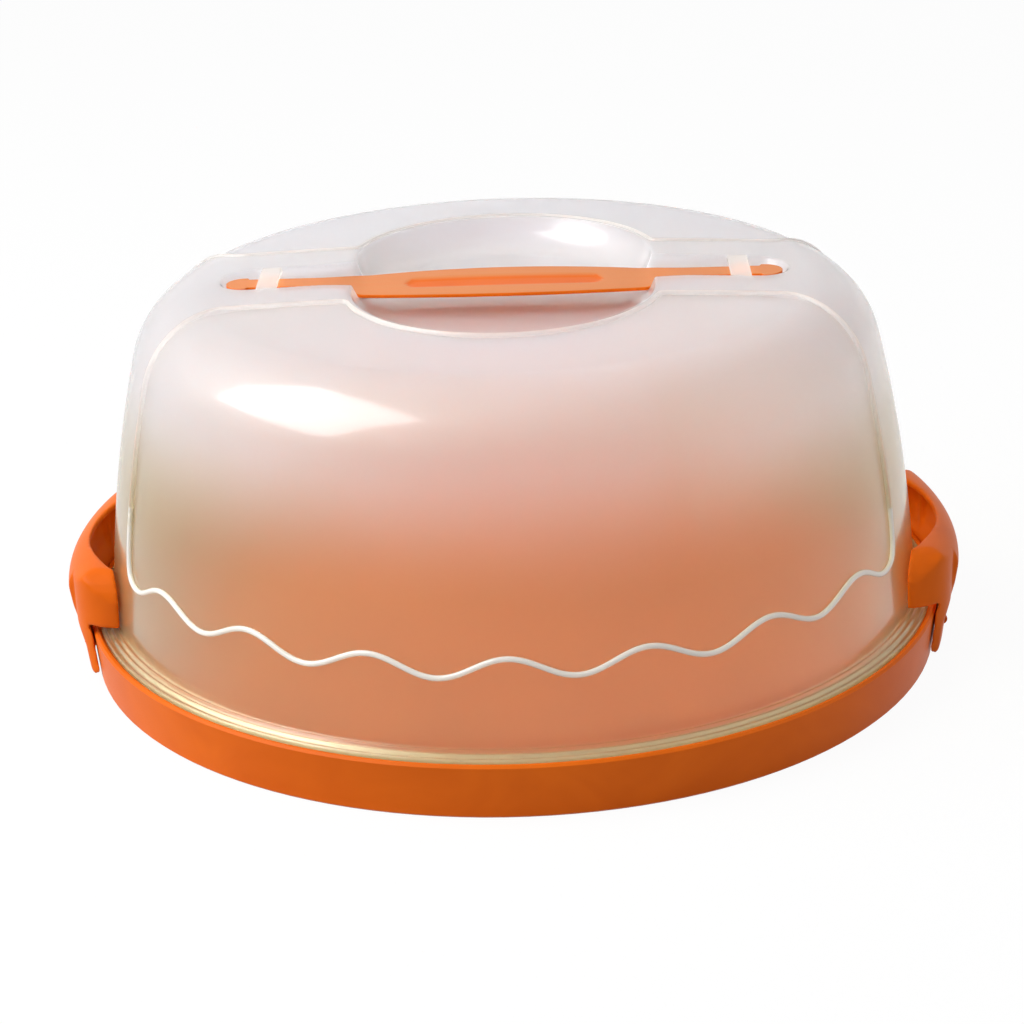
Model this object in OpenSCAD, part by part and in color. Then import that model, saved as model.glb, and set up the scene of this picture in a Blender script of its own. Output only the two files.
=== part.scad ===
/* [Tray] */
// Outer radius of the tray at the table
tray_r = 160; // [120:1:200]
// Height of the tray's outer rim
rim_h = 20; // [14:0.5:30]
// How far the rim leans out over its height
rim_lean = 1.5; // [0:0.1:3]
// Wall of the tray
tray_wall = 2.4; // [1.8:0.1:3.5]
// Height of the cake floor's upper face
floor_h = 8; // [6.5:0.5:10]
// Width of the lid's seat, from the rim inwards
seat_w = 11; // [9:0.5:14]
// Depth of the lid's seat below the rim's edge
seat_depth = 1.6; // [1:0.1:3]
// Radius of the raised disc that the cake stands on
cake_r = 132; // [80:1:134]
// Height of the raised disc over the floor
cake_step = 1.2; // [0.6:0.1:2]
// Number of stiffening ribs under the floor
rib_count = 12; // [6:1:24]
// Radius of the ring rib under the floor
ring_rib_r = 72; // [50:1:100]
// Thickness of the ribs
rib_t = 2; // [1.5:0.1:3]

/* [Lid] */
// Height of the lid's highest point over the table
lid_top = 142.5; // [120:0.5:180]
// How far the dome's wall leans in, from its foot to the round corner
wall_lean = 15.3; // [10:0.1:22]
// Radius of the round corner between wall and crown
corner_r = 30; // [22:1:36]
// Height of the crown's curve over the corner
crown_rise = 3; // [1:0.1:5]
// Wall of the lid
lid_wall = 2; // [1.4:0.1:3]
// Width of the flange outside the dome's wall
flange_w = 6.4; // [5:0.1:8]
// Thickness of the flange's edge
flange_t = 1.7; // [1.2:0.1:2.4]
// Half the length of the finger well, along the strap
well_r = 54.5; // [48:0.5:60]
// How far the well is drawn out to the front and to the back
well_draw = 20; // [8:0.5:24]
// Depth of the finger well
well_depth = 13; // [8:0.5:16]

/* [Border bead] */
// Width of the bead that frames the front and back panels
bead_w = 1.7; // [1:0.1:3]
// How far the bead stands out of the wall
bead_h = 0.7; // [0.4:0.1:1.2]
// How far the framed panels are set back
panel_depth = 0.8; // [0.4:0.1:1]
// Mean height of the bead's wavy lower run
wave_z = 49; // [44:0.5:56]
// Height of the waves, up and down from their mean
wave_a = 3.5; // [2:0.1:5]
// Angle between two wave tops, seen from above
wave_pitch = 18; // [18:18:36]
// Half the angle that the framed panel spans
panel_half = 67.5; // [60:0.5:70]
// Distance of the panel's top edge from the middle of the lid
panel_y = 33; // [28:0.5:40]

/* [Carry strap] */
// Thickness of the strap
strap_t = 2; // [1.6:0.1:3]
// Half the length of the strap
strap_half = 102; // [99:0.5:104]
// Half the width of the thin arms
arm_half = 5.2; // [4:0.1:6]
// Half the width of the grip at its middle
grip_half = 16.8; // [12:0.1:18]
// Half the width of the grip at its ends
grip_end_half = 12.5; // [8:0.1:14]
// Where the grip ends and an arm starts
grip_end = 50; // [44:1:52]
// Where an arm has narrowed to its own width
neck_x = 67; // [60:1:72]
// Where an arm ends and a tip starts
arm_end = 80; // [76:0.5:81]
// Half the width of the barbed heads
barb_half = 6.9; // [6.5:0.1:8]
// Length of the barbed heads
barb_len = 8; // [7:0.5:10]
// Half the length of the grip's long dimple
dimple_half = 36; // [20:1:42]
// Half the width of the grip's long dimple
dimple_w = 5.2; // [3:0.1:7]
// Depth of the dimple
dimple_depth = 0.8; // [0.4:0.1:1.2]
// How far each tip slides in before its barbs catch
strap_slack = 3.85; // [3:0.05:5]
// Length of a bridge along the strap
bridge_w = 7.6; // [5:0.1:9]
// Thickness of a bridge
bridge_t = 1.5; // [1:0.1:2.5]

/* [Latches] */
// Half the width of a latch
latch_half = 50; // [44:1:56]
// Wall of the latches
latch_wall = 2.8; // [2.4:0.1:3.6]
// Half the width of a latch's foot
latch_foot_half = 48; // [40:1:49]
// Gap between the tray's rim and a latch's wall
latch_gap = 0.7; // [0.6:0.1:1.5]
// How far a latch's wall bulges beyond its foot
latch_bulge = 3.6; // [1:0.1:5]
// How far a latch's foot leans in under the bulge
latch_lean = 1.3; // [0.8:0.1:1.5]
// Height of a latch's top edge
latch_top = 44; // [40:0.5:46]
// Radius of a latch's shoulders, from its top down to its ends
shoulder_r = 14; // [8:0.5:16]
// Radius of a latch's rounded ends, seen from above
latch_end_r = 18; // [10:0.5:24]
// Reach of the finger opening, from the top edge to the dome
opening_r = 64; // [52:1:72]
// Height of the hinge axis
hinge_z = 5.4; // [5.2:0.1:6]
// Radius of the hinge pins
pin_r = 1.3; // [1:0.1:1.5]
// Length of a hinge pin
pin_len = 3.4; // [3:0.1:5]
// Half the length of the hinge barrel
barrel_half = 16; // [12:0.5:18]
// Thickness of the lugs that hold the pins
lug_t = 3; // [2.4:0.1:4]

/* [Clearances] */
// Running clearance round a hinge pin
pin_play = 0.05; // [0.03:0.01:0.1]
// Gap between the lid and its seat, and under the strap
rest_gap = 0.3; // [0.2:0.05:0.5]
// Gap between the flange and the rim's edge
side_gap = 0.6; // [0.4:0.1:1]
// Gap between a latch and the lid
hook_gap = 0.6; // [0.4:0.1:1]
// Gap beside and over the strap
strap_play = 0.5; // [0.3:0.1:0.8]
// Gap between a barb and its channel's wall
barb_play = 5; // [0.5:0.1:6]

/* [Hidden] */

orange = [0.93, 0.38, 0.10];
milky = [0.90, 0.89, 0.88, 0.55];
fine = 96;
small = 48;
far = 400;
soft_edge = 0.8;
thin_edge = 0.4;

rim_top_r = tray_r + rim_lean;
lip_r = rim_top_r - tray_wall + 0.2;
seat_z = rim_h - seat_depth;
seat_in_r = lip_r - seat_w;
floor_in_r = seat_in_r - tray_wall;

flange_z = seat_z + rest_gap;
flange_r = lip_r - side_gap;
foot_r = flange_r - flange_w;
foot_rise = 2.4;
foot_z = flange_z + flange_t + foot_rise;
wall_angle = 14.5;
crown_angle = 87;
corner_x = foot_r - wall_lean - corner_r * cos(wall_angle);
corner_z = lid_top - crown_rise - corner_r * sin(crown_angle);
crown_r = corner_x + corner_r * cos(crown_angle);
crown_ball = (crown_r * crown_r + crown_rise * crown_rise) / (2 * crown_rise);
wall_run = corner_z + corner_r * sin(wall_angle) - foot_z;
wall_curve = 0.62;
wave_end = 4.5;
wave_lift = 9;
panel_round = 9;
well_rim_z = crown_z(well_r);
well_round = 14;
well_floor_z = lid_top - well_depth;

bridge_x = 86.2;
bridge_proud = 0.2;
channel_z = crown_z(bridge_x) + bridge_proud - bridge_t - strap_play - strap_t - rest_gap;
strap_z = channel_z + rest_gap;
barb_x = strap_half - barb_len;
channel_half = barb_half + barb_play;
channel_end = strap_half + 2;
flare_x = neck_x + 1;
flare_half = grip_end_half + strap_play + 1;
stop_x = barb_x - strap_slack - rest_gap;

latch_in_r = rim_top_r + latch_gap;
latch_out_r = latch_in_r + latch_wall;
latch_bow = 1.5;
shoulder_y = latch_half + 0.4 - shoulder_r;
shoulder_z = latch_top + 0.4 - shoulder_r;
foot_bevel = 1.5;
hinge_x = latch_in_r;
barrel_r = 2.1;
lug_x = barrel_half + rest_gap;
lug_depth = 9;
hook_z = foot_z + hook_gap;
latch_foot_z = hinge_z - 2;
opening_x = latch_in_r - latch_bow - opening_r;

// Height of the crown's upper face at a distance from the middle
function crown_z(r) = lid_top - crown_ball + sqrt(crown_ball * crown_ball - r * r);

// Points along an arc in a plane
function arc(cx, cy, r, from, to, steps) =
    [for (i = [0:steps]) [cx + r * cos(from + (to - from) * i / steps),
                          cy + r * sin(from + (to - from) * i / steps)]];

// Direction square to a path at one of its points, to the left of its run
function side(p, i) =
    let (a = p[max(i - 1, 0)], b = p[min(i + 1, len(p) - 1)], d = b - a)
    [-d[1], d[0]] / norm(d);

// The same path, moved to its left
function shifted(p, t) = [for (i = [0:len(p) - 1]) p[i] + t * side(p, i)];

function backwards(p) = [for (i = [len(p) - 1:-1:0]) p[i]];

// The dome's outer wall from its foot to the crown's middle
function dome_path(grow) = concat(
    [for (i = [0:7]) let (t = i / 8)
        [foot_r + grow - wall_lean * t * (1 - wall_curve + wall_curve * t), foot_z + wall_run * t]],
    arc(corner_x, corner_z, corner_r + grow, wall_angle, crown_angle, 12),
    [for (i = [7:-1:0]) [crown_r * i / 8, crown_z(crown_r * i / 8) + grow]]);

// Filled outline of the dome, for trimming what lies inside it
module dome_solid(grow) {
    rotate_extrude($fn = fine)
        polygon(concat([[0, foot_z]], dome_path(grow)));
}

// Section of the finger well, from above its rim down to its middle
function well_path(grow) =
    let (cz = well_floor_z + well_round, rim = -asin((cz - well_rim_z) / well_round))
    concat([[well_r + grow, well_rim_z + 4]],
        arc(well_r - well_round, cz, well_round + grow, rim, -90, 8));

// Space of the finger well: two round ends and the straight between them
module well_solid(grow) {
    half = well_path(grow);
    both_sides_y()
        translate([0, well_draw, 0])
            rotate_extrude($fn = fine)
                polygon(concat(half, [[0, well_floor_z - grow], [0, well_rim_z + 4]]));
    translate([0, well_draw, 0])
        rotate([90, 0, 0])
            linear_extrude(2 * well_draw)
                polygon(concat(half, [for (p = backwards(half)) [-p[0], p[1]]]));
}

// Everything over the finger well's plan, grown by a distance
module well_plan(grow) {
    both_sides_y()
        translate([0, well_draw, 0])
            cylinder(r = well_r + grow, h = far, $fn = fine);
    translate([-well_r - grow, -well_draw, 0])
        cube([2 * (well_r + grow), 2 * well_draw, far]);
}

// Plan of the strap's channel: narrow beside the arms, open at the well
function channel_plan(grow) =
    [[channel_end + grow, -channel_half - grow], [channel_end + grow, channel_half + grow],
     [flare_x, channel_half + grow], [grip_end + 2, flare_half + grow],
     [0, flare_half + grow], [0, -flare_half - grow],
     [grip_end + 2, -flare_half - grow], [flare_x, -channel_half - grow]];

module both_sides() {
    children();
    mirror([1, 0, 0]) children();
}

module both_sides_y() {
    children();
    mirror([0, 1, 0]) children();
}

module channel(grow, z) {
    both_sides()
        translate([0, 0, z])
            linear_extrude(far)
                polygon(channel_plan(grow));
}

// Height of the panel's lower edge at an angle from the front
function wave_height(a) =
    let (last = panel_half - wave_end, u = max(0, abs(a) - last) / wave_end)
    abs(a) < last
        ? wave_z + wave_a * cos(360 * a / wave_pitch)
        : wave_z + wave_a * cos(360 * last / wave_pitch)
            + wave_lift * (1 - sqrt(1 - min(1, u * u)));

// Panel seen from the front: wavy below, open above
module panel_front(inset) {
    wave = [for (i = [-45:45]) let (a = panel_half * i / 45)
        [(foot_r - 2) * sin(a), wave_height(a) + inset]];
    rotate([90, 0, 0])
        linear_extrude(far)
            polygon(concat(wave, [[far, far], [-far, far]]));
}

// Panel seen from above: a sector with rounded corners, cut off at panel_y
module panel_plan(inset) {
    high_r = corner_x + 0.66 * corner_r;
    high = high_r * [sin(panel_half + 2), -cos(panel_half + 2)];
    low = (foot_r - 2) * [sin(panel_half), -cos(panel_half)];
    inwards = -inset * [1, 0.6];
    run = low - high;
    lean = atan2(run[1], run[0]);
    top = -panel_y - inset;
    round = panel_round - inset;
    cx = high[0] + inwards[0] + (top - round - high[1] - inwards[1]) * run[0] / run[1]
        - round / cos(90 + lean);
    right = concat(
        [[0, top]],
        backwards(arc(cx, top - round, round, 90 + lean, 90, 8)),
        [low + inwards + 3 * run, [0, -far]]);
    linear_extrude(far) {
        polygon(right);
        mirror([1, 0]) polygon(right);
    }
}

// One framed panel's space, at a distance inside its border
module panel(inset) {
    difference() {
        intersection() {
            panel_plan(inset);
            panel_front(inset);
        }
        well_plan(bead_w + inset);
    }
}

// Skin of the wall between two depths, inside a panel's border
module panel_skin(outer, inner, inset) {
    intersection() {
        difference() {
            dome_solid(outer);
            dome_solid(inner);
        }
        union() {
            panel(inset);
            mirror([0, 1, 0]) panel(inset);
        }
    }
}

module bead() {
    difference() {
        panel_skin(bead_h, -lid_wall / 2, 0);
        panel_skin(bead_h + 1, -lid_wall, bead_w);
    }
}

module base_tray() {
    color(orange) {
        difference() {
            rotate_extrude($fn = fine)
                polygon([[0, floor_h + cake_step], [cake_r, floor_h + cake_step],
                    [cake_r + cake_step, floor_h], [floor_in_r - 2, floor_h],
                    [floor_in_r, floor_h + 2], [floor_in_r, seat_z - soft_edge],
                    [floor_in_r + soft_edge, seat_z], [lip_r, seat_z],
                    [lip_r, rim_h - thin_edge], [lip_r + thin_edge, rim_h],
                    [rim_top_r - soft_edge, rim_h], [rim_top_r, rim_h - soft_edge],
                    [tray_r, soft_edge], [tray_r - soft_edge, 0],
                    [tray_r - tray_wall, 0], [lip_r - thin_edge, seat_z - tray_wall],
                    [seat_in_r, seat_z - tray_wall], [seat_in_r, floor_h - tray_wall],
                    [0, floor_h - tray_wall]]);
            both_sides() hinge_pocket();
        }
        under_ribs();
        both_sides()
            both_sides_y()
                hinge_lug();
    }
}

// Ribs that carry the floor, set back from the table
module under_ribs() {
    rib_low = 0.4;
    rib_up = floor_h - tray_wall + 0.4 - rib_low;
    rotate_extrude($fn = fine)
        translate([ring_rib_r, rib_low])
            square([rib_t, rib_up]);
    for (i = [0:rib_count - 1])
        rotate([0, 0, (i + 0.5) * 360 / rib_count])
            translate([ring_rib_r + rib_t / 2, -rib_t / 2, rib_low])
                cube([tray_r - tray_wall / 2 - ring_rib_r - rib_t, rib_t, rib_up]);
}

// Flat on the rim's outer face that clears a latch's barrel
module hinge_pocket() {
    play = 0.45;
    translate([hinge_x - barrel_r - play, -lug_x, -1])
        cube([far, 2 * lug_x, hinge_z + barrel_r + play + 1]);
}

// Lug on the rim's outer face that a latch's pin turns in
module hinge_lug() {
    translate([hinge_x, lug_x + lug_t / 2, hinge_z])
        rotate([90, 0, 0])
            difference() {
                union() {
                    cylinder(r = barrel_r, h = lug_t, center = true, $fn = small);
                    translate([-lug_depth, -barrel_r, -lug_t / 2])
                        cube([lug_depth, 2 * barrel_r, lug_t]);
                }
                cylinder(r = pin_r + pin_play, h = lug_t + 2, center = true, $fn = small);
            }
}

module lid_dome() {
    color(milky) {
        difference() {
            union() {
                difference() {
                    dome_solid(0);
                    dome_inside();
                    panel_skin(1, -panel_depth, bead_w / 2);
                }
                lid_flange();
                bead();
            }
            well_solid(0);
            channel(0, channel_z);
        }
        strap_bridges();
    }
}

// The lid's hollow: the dome less its wall, with the well's and channel's walls left standing
module dome_inside() {
    difference() {
        rotate_extrude($fn = fine)
            polygon(concat([[0, foot_z - 1], [foot_r - lid_wall, foot_z - 1]],
                [for (p = shifted(dome_path(0), lid_wall)) [max(0, p[0]), p[1]]]));
        well_solid(lid_wall);
        channel(lid_wall, channel_z - lid_wall);
    }
}

module lid_flange() {
    face = flange_z + flange_t;
    step_r = foot_r + 2.9;
    rotate_extrude($fn = fine)
        polygon([[foot_r - lid_wall, flange_z], [flange_r, flange_z],
            [flange_r, face - thin_edge], [flange_r - thin_edge, face],
            [step_r, face + thin_edge], [step_r - 0.2, face + thin_edge + 0.5],
            [foot_r + 0.5, foot_z - 1], [foot_r + 0.4, foot_z - 0.5],
            [foot_r, foot_z], [foot_r - lid_wall, foot_z]]);
}

// Bridges over the strap's ends, with cheeks that stop the barbs
module strap_bridges() {
    bridge_z = strap_z + strap_t + strap_play;
    start = bridge_x - bridge_w / 2;
    anchor = 2.5;
    cheek_in = arm_half + strap_play;
    cheek_out = channel_half + 1;
    both_sides() {
        translate([start, -channel_half - anchor, bridge_z])
            cube([bridge_w, 2 * (channel_half + anchor), bridge_t]);
        both_sides_y()
            translate([start, cheek_in, channel_z - 0.5])
                cube([stop_x - start, cheek_out - cheek_in, bridge_z - channel_z + 1]);
    }
}

// Half the strap's width at a distance from its middle
function strap_width(x) =
    let (t = min(1, max(0, x - grip_end) / (neck_x - grip_end)))
    x < grip_end
        ? grip_half - (grip_half - grip_end_half) * x * x / (grip_end * grip_end)
        : arm_half + (grip_end_half - arm_half) * (1 + cos(180 * t)) / 2;

// Stretch of the strap between two distances from its middle
module strap_stretch(from, to) {
    steps = 10;
    xs = [for (i = [0:steps]) from + (to - from) * i / steps];
    translate([0, 0, strap_z])
        linear_extrude(strap_t)
            polygon(concat([for (x = xs) [x, strap_width(abs(x))]],
                [for (x = backwards(xs)) [x, -strap_width(abs(x))]]));
}

module handle_grip() {
    color(orange)
        difference() {
            strap_stretch(-grip_end, grip_end);
            translate([0, 0, strap_z + strap_t - dimple_depth]) {
                translate([-dimple_half + dimple_w, -dimple_w, 0])
                    cube([2 * (dimple_half - dimple_w), 2 * dimple_w, strap_t]);
                both_sides()
                    translate([dimple_half - dimple_w, 0, 0])
                        cylinder(r = dimple_w, h = strap_t, $fn = small);
            }
        }
}

module handle_arm() {
    color(orange)
        strap_stretch(grip_end, arm_end);
}

// End of the strap: it slides under its bridge until the barbs catch
module handle_tip() {
    start = arm_end + rest_gap;
    nose_x = barb_x + 1.5;
    nose = [for (i = [-10:10]) [nose_x + (strap_half - nose_x) * cos(9 * i),
        barb_half * sin(9 * i)]];
    color(orange)
        translate([0, 0, strap_z])
            linear_extrude(strap_t)
                polygon(concat([[barb_x, -arm_half], [barb_x, -barb_half]], nose,
                    [[barb_x, barb_half], [barb_x, arm_half],
                     [start, arm_half], [start, -arm_half]]));
}

// Radius of a latch's inner face at a height: it leans with the rim
function latch_face(z) = latch_in_r - rim_lean * (1 - z / rim_h);

// What a latch's inner face leaves to the rim, with room for the foot to swing
latch_room = [[latch_face(latch_foot_z) + foot_bevel, latch_foot_z - 5],
    [latch_face(latch_foot_z) + foot_bevel, latch_foot_z],
    [latch_face(latch_foot_z + foot_bevel), latch_foot_z + foot_bevel],
    [latch_in_r, rim_h]];

// Section of a latch's outer face, from its foot up and over to the dome
function latch_path() =
    let (rise = 0.72 * (latch_top - latch_foot_z), mid = latch_foot_z + rise,
        round = latch_top - mid, toe = 1.2)
    concat(
        arc(latch_out_r - latch_lean - toe, latch_foot_z + toe, toe, -70, 0, 4),
        [[latch_out_r - latch_lean / 4, latch_foot_z + 0.36 * rise],
         [latch_out_r + 0.72 * latch_bulge, latch_foot_z + 0.75 * rise]],
        arc(latch_out_r + latch_bulge - round, mid, round, 0, 90, 10),
        [[foot_r - 6, latch_top - 1]]);

// Space inside a latch's outline, seen from above
module latch_outline(inset) {
    half = latch_half - inset;
    r = latch_end_r - inset;
    out = latch_out_r + latch_bow - inset;
    cy = half - r;
    cx = sqrt((out - r) * (out - r) - cy * cy);
    back = foot_r - 60;
    linear_extrude(far) {
        intersection() {
            circle(r = out + 6, $fn = fine);
            translate([0, -cy]) square([far, 2 * cy]);
        }
        translate([back, -half]) square([cx - back, 2 * half]);
        both_sides_y()
            translate([cx, cy]) circle(r = r, $fn = fine);
    }
}

// Space under a latch's top and its round shoulders
module latch_crest(inset) {
    r = shoulder_r - inset;
    half = concat([[shoulder_y + r, -far]], arc(shoulder_y, shoulder_z, r, 0, 90, 6));
    rotate([90, 0, 90])
        linear_extrude(far)
            polygon(concat(half, [for (p = backwards(half)) [-p[0], p[1]]]));
}

// The latch as a solid, its hollow not yet taken out
module latch_block() {
    intersection() {
        rotate_extrude($fn = fine)
            polygon(concat([[foot_r - 6, latch_foot_z], [tray_r, latch_foot_z]], latch_path()));
        latch_outline(0);
        latch_crest(0);
    }
}

module latch_hollow() {
    intersection() {
        rotate_extrude($fn = fine)
            polygon(concat([[foot_r - 8, latch_foot_z - 5]], latch_room,
                [for (p = shifted(latch_path(), latch_wall)) if (p[1] > rim_h + 3) p],
                [[foot_r - 8, latch_top - 1 - latch_wall]]));
        latch_crest(latch_wall);
        union() {
            latch_outline(latch_wall);
            translate([0, -latch_half - 1, -5])
                cube([far, 2 * latch_half + 2, hook_z + 5]);
        }
    }
}

// What the latch's narrower foot leaves free beside it
module beside_foot() {
    both_sides_y()
        translate([0, latch_foot_half, -1])
            cube([far, far, hook_z + 1]);
}

module latch_right() {
    color(orange)
        difference() {
            union() {
                difference() {
                    latch_block();
                    latch_hollow();
                    translate([opening_x, 0, hook_z])
                        cylinder(r = opening_r, h = far, $fn = fine);
                    latch_clearance();
                    beside_foot();
                }
                latch_barrel();
            }
            both_sides_y() lug_notch();
        }
}

// Space that the lid and the rim take inside a latch
module latch_clearance() {
    rotate_extrude($fn = fine)
        polygon(concat([[0, latch_foot_z - 5]], latch_room,
            [[latch_in_r, hook_z], [foot_r + hook_gap, hook_z],
             [foot_r - 2 + hook_gap, latch_top + 20], [0, latch_top + 20]]));
}

// Barrel and stub pins that turn in the tray's lugs
module latch_barrel() {
    translate([hinge_x, 0, hinge_z])
        rotate([90, 0, 0]) {
            cylinder(r = barrel_r, h = 2 * barrel_half, center = true, $fn = small);
            cylinder(r = pin_r, h = 2 * (barrel_half + pin_len), center = true, $fn = small);
        }
}

// Notch in a latch's foot that leaves room for a lug
module lug_notch() {
    wide = lug_t + 2 * rest_gap;
    round = barrel_r + 0.5;
    translate([hinge_x, lug_x + lug_t / 2, hinge_z])
        rotate([90, 0, 0])
            difference() {
                translate([-2 * round, -3 * round, -wide / 2])
                    cube([3 * round, 4 * round, wide]);
                cylinder(r = pin_r, h = 2 * wide, center = true, $fn = small);
            }
}

module latch_left() {
    mirror([1, 0, 0]) latch_right();
}

base_tray();
lid_dome();
latch_left();
latch_right();
handle_grip();
mirror([1, 0, 0]) handle_arm();  // handle_arm_left
handle_arm();  // handle_arm_right
mirror([1, 0, 0]) handle_tip();  // handle_tip_left
handle_tip();  // handle_tip_right
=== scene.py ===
import math

import bmesh
import bpy
import numpy as np
from mathutils import Matrix, Vector


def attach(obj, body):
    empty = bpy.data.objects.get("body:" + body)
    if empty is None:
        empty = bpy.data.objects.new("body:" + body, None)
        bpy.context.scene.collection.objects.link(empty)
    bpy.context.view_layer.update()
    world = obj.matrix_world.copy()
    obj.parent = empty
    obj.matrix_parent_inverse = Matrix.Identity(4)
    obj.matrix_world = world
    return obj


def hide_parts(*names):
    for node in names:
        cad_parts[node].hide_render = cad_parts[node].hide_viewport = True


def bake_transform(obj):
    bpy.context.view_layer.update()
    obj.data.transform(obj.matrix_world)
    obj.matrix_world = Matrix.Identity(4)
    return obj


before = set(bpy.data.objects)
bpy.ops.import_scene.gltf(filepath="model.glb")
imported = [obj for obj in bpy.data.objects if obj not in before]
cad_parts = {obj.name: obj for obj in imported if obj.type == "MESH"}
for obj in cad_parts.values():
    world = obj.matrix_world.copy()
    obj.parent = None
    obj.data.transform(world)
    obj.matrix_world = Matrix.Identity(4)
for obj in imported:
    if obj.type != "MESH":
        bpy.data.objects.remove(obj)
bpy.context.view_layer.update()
print("frame loaded")

scene = bpy.context.scene
scene.view_settings.view_transform = "Standard"

cameraSetup = {
    "distance": 1.0,        # metres from the middle of the tray's foot
    "elevation": 24.0,      # degrees above the table
    "azimuth": 1.2,         # degrees towards the right latch
    "roll": -1.93,          # degrees
    "lens": 90.5,           # mm on a 36 mm sensor
    "shift": (-0.0034, 0.1075),
}


def addCamera(setup):
    data = bpy.data.cameras.new("camera")
    data.sensor_width = 36.0
    data.lens = setup["lens"]
    data.shift_x, data.shift_y = setup["shift"]
    data.clip_start = 0.05
    camera = bpy.data.objects.new("camera", data)
    scene.collection.objects.link(camera)
    turn = math.radians(setup["azimuth"])
    rise = math.radians(setup["elevation"])
    level = math.cos(rise)
    spot = Vector((math.sin(turn) * level, -math.cos(turn) * level, math.sin(rise)))
    camera.location = spot * setup["distance"]
    look = (-spot).to_track_quat("-Z", "Y").to_matrix().to_4x4()
    roll = Matrix.Rotation(math.radians(setup["roll"]), 4, "Z")
    camera.matrix_world = Matrix.Translation(camera.location) @ look @ roll
    scene.camera = camera


addCamera(cameraSetup)
print("camera placed")


def addGroup(name, inputs, outputs):
    tree = bpy.data.node_groups.new(name, "ShaderNodeTree")
    for label, kind, value in inputs:
        socket = tree.interface.new_socket(label, in_out="INPUT", socket_type=kind)
        if value is not None:
            socket.default_value = value
    for label, kind in outputs:
        tree.interface.new_socket(label, in_out="OUTPUT", socket_type=kind)
    return tree, tree.nodes.new("NodeGroupInput"), tree.nodes.new("NodeGroupOutput")


def addNode(tree, kind, **values):
    node = tree.nodes.new(kind)
    for key, value in values.items():
        if hasattr(node, key):
            setattr(node, key, value)
        else:
            node.inputs[key].default_value = value
    return node


def addMath(tree, operation, first, second):
    node = tree.nodes.new("ShaderNodeMath")
    node.operation = operation
    for socket, value in zip(node.inputs, (first, second)):
        if isinstance(value, bpy.types.NodeSocket):
            tree.links.new(value, socket)
        else:
            socket.default_value = value
    return node.outputs[0]


def buildMouldSkin():
    # fine spark-eroded grain, the cloudy flow of the melt, and long drawn streaks
    tree, source, sink = addGroup(
        "mouldSkin",
        [("Vector", "NodeSocketVector", None),
         ("Grain Scale", "NodeSocketFloat", 2600.0),
         ("Flow Scale", "NodeSocketFloat", 24.0),
         ("Streak Scale", "NodeSocketFloat", 900.0),
         ("Streak Amount", "NodeSocketFloat", 0.0)],
        [("Grain", "NodeSocketFloat"), ("Flow", "NodeSocketFloat"), ("Streak", "NodeSocketFloat")])
    grain = addNode(tree, "ShaderNodeTexNoise", Detail=2.0, Roughness=0.6)
    flow = addNode(tree, "ShaderNodeTexNoise", Detail=3.0, Roughness=0.5, Distortion=0.8)
    stretch = addNode(tree, "ShaderNodeMapping")
    stretch.inputs["Scale"].default_value = (0.03, 1.0, 1.0)
    streak = addNode(tree, "ShaderNodeTexNoise", Detail=2.0, Roughness=0.55)
    for noise, scale in ((grain, "Grain Scale"), (flow, "Flow Scale"), (streak, "Streak Scale")):
        tree.links.new(source.outputs[scale], noise.inputs["Scale"])
    tree.links.new(source.outputs["Vector"], grain.inputs["Vector"])
    tree.links.new(source.outputs["Vector"], flow.inputs["Vector"])
    tree.links.new(source.outputs["Vector"], stretch.inputs["Vector"])
    tree.links.new(stretch.outputs["Vector"], streak.inputs["Vector"])
    swing = addMath(tree, "SUBTRACT", streak.outputs[0], 0.5)
    streaks = addMath(tree, "MULTIPLY", swing, source.outputs["Streak Amount"])
    height = addMath(tree, "ADD", grain.outputs[0], streaks)
    tree.links.new(height, sink.inputs["Grain"])
    tree.links.new(flow.outputs[0], sink.inputs["Flow"])
    tree.links.new(streaks, sink.inputs["Streak"])
    return tree


mouldSkin = buildMouldSkin()


def startMaterial(name):
    material = bpy.data.materials.new(name)
    material.use_nodes = True
    tree = material.node_tree
    shader = tree.nodes["Principled BSDF"]
    skin = tree.nodes.new("ShaderNodeGroup")
    skin.node_tree = mouldSkin
    place = tree.nodes.new("ShaderNodeTexCoord")
    tree.links.new(place.outputs["Object"], skin.inputs["Vector"])
    return material, tree, shader, skin


def mixColours(tree, factor, dark, light):
    mix = tree.nodes.new("ShaderNodeMix")
    mix.data_type = "RGBA"
    tree.links.new(factor, mix.inputs[0])
    mix.inputs[6].default_value = (*dark, 1.0)
    mix.inputs[7].default_value = (*light, 1.0)
    return mix.outputs[2]


def spread(tree, value, low, high):
    # stretches the middle of a noise over the whole range
    node = tree.nodes.new("ShaderNodeMapRange")
    tree.links.new(value, node.inputs["Value"])
    node.inputs["From Min"].default_value = 0.3
    node.inputs["From Max"].default_value = 0.7
    node.inputs["To Min"].default_value = low
    node.inputs["To Max"].default_value = high
    return node.outputs["Result"]


def addBump(tree, height, shader, strength):
    grainDepth = 0.0002     # metres
    bump = tree.nodes.new("ShaderNodeBump")
    bump.inputs["Strength"].default_value = strength
    bump.inputs["Distance"].default_value = grainDepth
    tree.links.new(height, bump.inputs["Height"])
    tree.links.new(bump.outputs["Normal"], shader.inputs["Normal"])


orangeFinish = {
    "deep": (0.74, 0.125, 0.003),
    "bright": (0.84, 0.155, 0.005),
    # painted sheen: the pale colour painted on the strap's top for the light it catches
    "paintedSheen": (0.74, 0.26, 0.085),
    "paintedSheenShare": 0.9,     # how strong the painted sheen on the strap's top is
    "roughness": (0.40, 0.48),
    "specular": 0.10,
    "coat": 0.03,
    "coatRoughness": 0.16,
    "bump": 0.12,
}


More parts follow.
